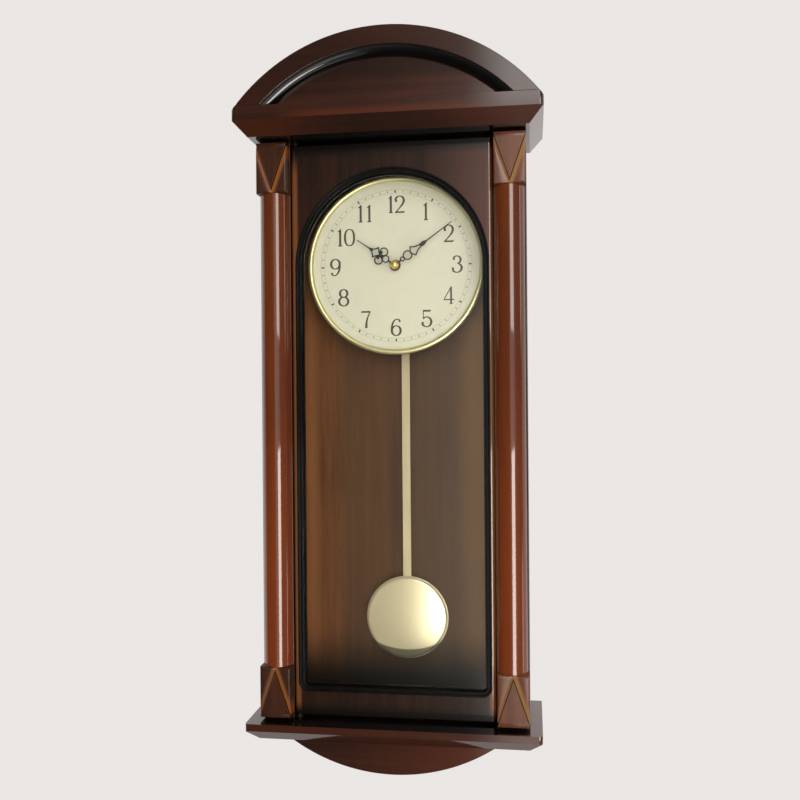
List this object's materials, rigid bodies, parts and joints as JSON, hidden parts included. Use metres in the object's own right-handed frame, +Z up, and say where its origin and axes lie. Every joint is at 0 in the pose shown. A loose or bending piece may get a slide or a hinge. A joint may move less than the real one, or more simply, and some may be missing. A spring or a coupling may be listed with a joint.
{
  "type": "pendulum wall clock",
  "caption": "Wall-hung pendulum clock: arched hood, half-round columns, glazed hinged door, round dial with hands, quartz chime movement and swinging pendulum.",
  "frame": {"origin": "centre of the keyhole hanger's round entry hole, on the wall plane", "axes": "+X to the viewer's right, +Y into the wall, +Z up"},
  "size_m": [0.27, 0.112, 0.65],
  "materials": {
    "mahogany": "glossy lacquer over dark mahogany stain",
    "carved_blocks": "glossy lacquer, rubbed lighter along the carved edges",
    "column_red": "high gloss red-brown lacquer",
    "tympanum_red": "satin lacquer, reddish grain",
    "door_wood": "satin lacquer, rubbed lighter at the side edges",
    "black_lacquer": "gloss black lacquer",
    "clear_glass": "clear sheet",
    "back_board": "matt brown veneer",
    "dial_cream": "cream matt paint with dark green-black print",
    "bezel_gold": "polished",
    "hand_black": "satin black",
    "bright_brass": "polished",
    "pendulum_brass": "satin, pale",
    "movement_plastic": "fine-grained moulding",
    "wheel_plastic": "smooth white moulding",
    "steel": "bright zinc",
    "copper_wire": "enamelled copper winding",
    "board_green": "green solder mask",
    "cell_wrap": "gloss printed wrap",
    "speaker_black": "black frame and cone"
  },
  "bodies": {
    "case": {"hood_board": "mahogany", "hood_arch": "mahogany", "hood_moulding": "black_lacquer", "tympanum": "tympanum_red", "hood_top": "mahogany", "hood_back": "back_board", "side_left": "mahogany", "side_right": "mahogany", "stile_left": "mahogany", "stile_right": "mahogany", "base_board": "mahogany", "apron": "mahogany", "back_panel": "back_board", "hanging_rail": "mahogany", "hanger_plate": "steel", "case_screws": "steel", "column_left": "column_red", "column_right": "column_red", "capital_left": "carved_blocks", "capital_right": "carved_blocks", "plinth_left": "carved_blocks", "plinth_right": "carved_blocks", "catch_body": "steel", "pivot_bushes": "bright_brass", "dial_posts": "steel", "dial_board": "back_board", "dial_plate": "dial_cream", "bezel": "bezel_gold", "movement_case": "movement_plastic", "movement_cover": "movement_plastic", "centre_bush": "bright_brass", "fixing_nut": "bright_brass", "train_module": "movement_plastic", "stepper_coil": "copper_wire", "circuit_board": "board_green", "cell_left": "cell_wrap", "cell_right": "cell_wrap", "cell_contacts": "steel", "speaker": "speaker_black", "drive_coil": "copper_wire", "pendulum_pin": "steel"},
    "door": {"door_frame": "door_wood", "window_bead": "black_lacquer", "glass_pane": "clear_glass", "glass_stop": "black_lacquer", "pivot_pins": "steel", "strike_plate": "steel"},
    "minute_unit": {"minute_arbor": "steel", "minute_hand": "hand_black", "hand_nut": "bright_brass"},
    "hour_unit": {"hour_wheel": "wheel_plastic", "hour_hand": "hand_black"},
    "minute_wheel_unit": {"minute_wheel": "wheel_plastic"},
    "knob": {"setting_knob": "movement_plastic"},
    "chime_slider": {"chime_switch": "wheel_plastic"},
    "pendulum": {"pendulum_arm": "movement_plastic", "pendulum_rod": "pendulum_brass", "bob_shell": "pendulum_brass", "bob_back": "pendulum_brass"}
  },
  "joints": [
    {"name": "door_hinge", "type": "hinge", "parent": "case", "child": "door", "pos_m": [-0.0873, -0.0711, -0.24], "axis": [0, 0, -1], "range_deg": [0, 88]},
    {"name": "pendulum_swing", "type": "hinge", "parent": "case", "child": "pendulum", "pos_m": [0.0045, -0.012, -0.08], "axis": [0, 1, 0], "range_deg": [-6, 6]},
    {"name": "minute_turn", "type": "hinge", "parent": "case", "child": "minute_unit", "pos_m": [0, -0.035, -0.09], "axis": [0, 1, 0], "continuous": true},
    {"name": "hour_turn", "type": "hinge", "parent": "case", "child": "hour_unit", "pos_m": [0, -0.035, -0.09], "axis": [0, 1, 0], "continuous": true},
    {"name": "minute_wheel_turn", "type": "hinge", "parent": "case", "child": "minute_wheel_unit", "pos_m": [0.01, -0.03, -0.09], "axis": [0, 1, 0], "continuous": true},
    {"name": "knob_turn", "type": "hinge", "parent": "case", "child": "knob", "pos_m": [0.02, -0.02, -0.09], "axis": [0, 1, 0], "continuous": true},
    {"name": "chime_slide", "type": "slide", "parent": "case", "child": "chime_slider", "axis": [1, 0, 0], "range_m": [0, 0.006]}
  ],
  "couplings": [
    {"joint": "hour_turn", "follows": "minute_turn", "ratio": 0.083333},
    {"joint": "minute_wheel_turn", "follows": "minute_turn", "ratio": -0.33333},
    {"joint": "knob_turn", "follows": "minute_turn", "ratio": 1}
  ]
}
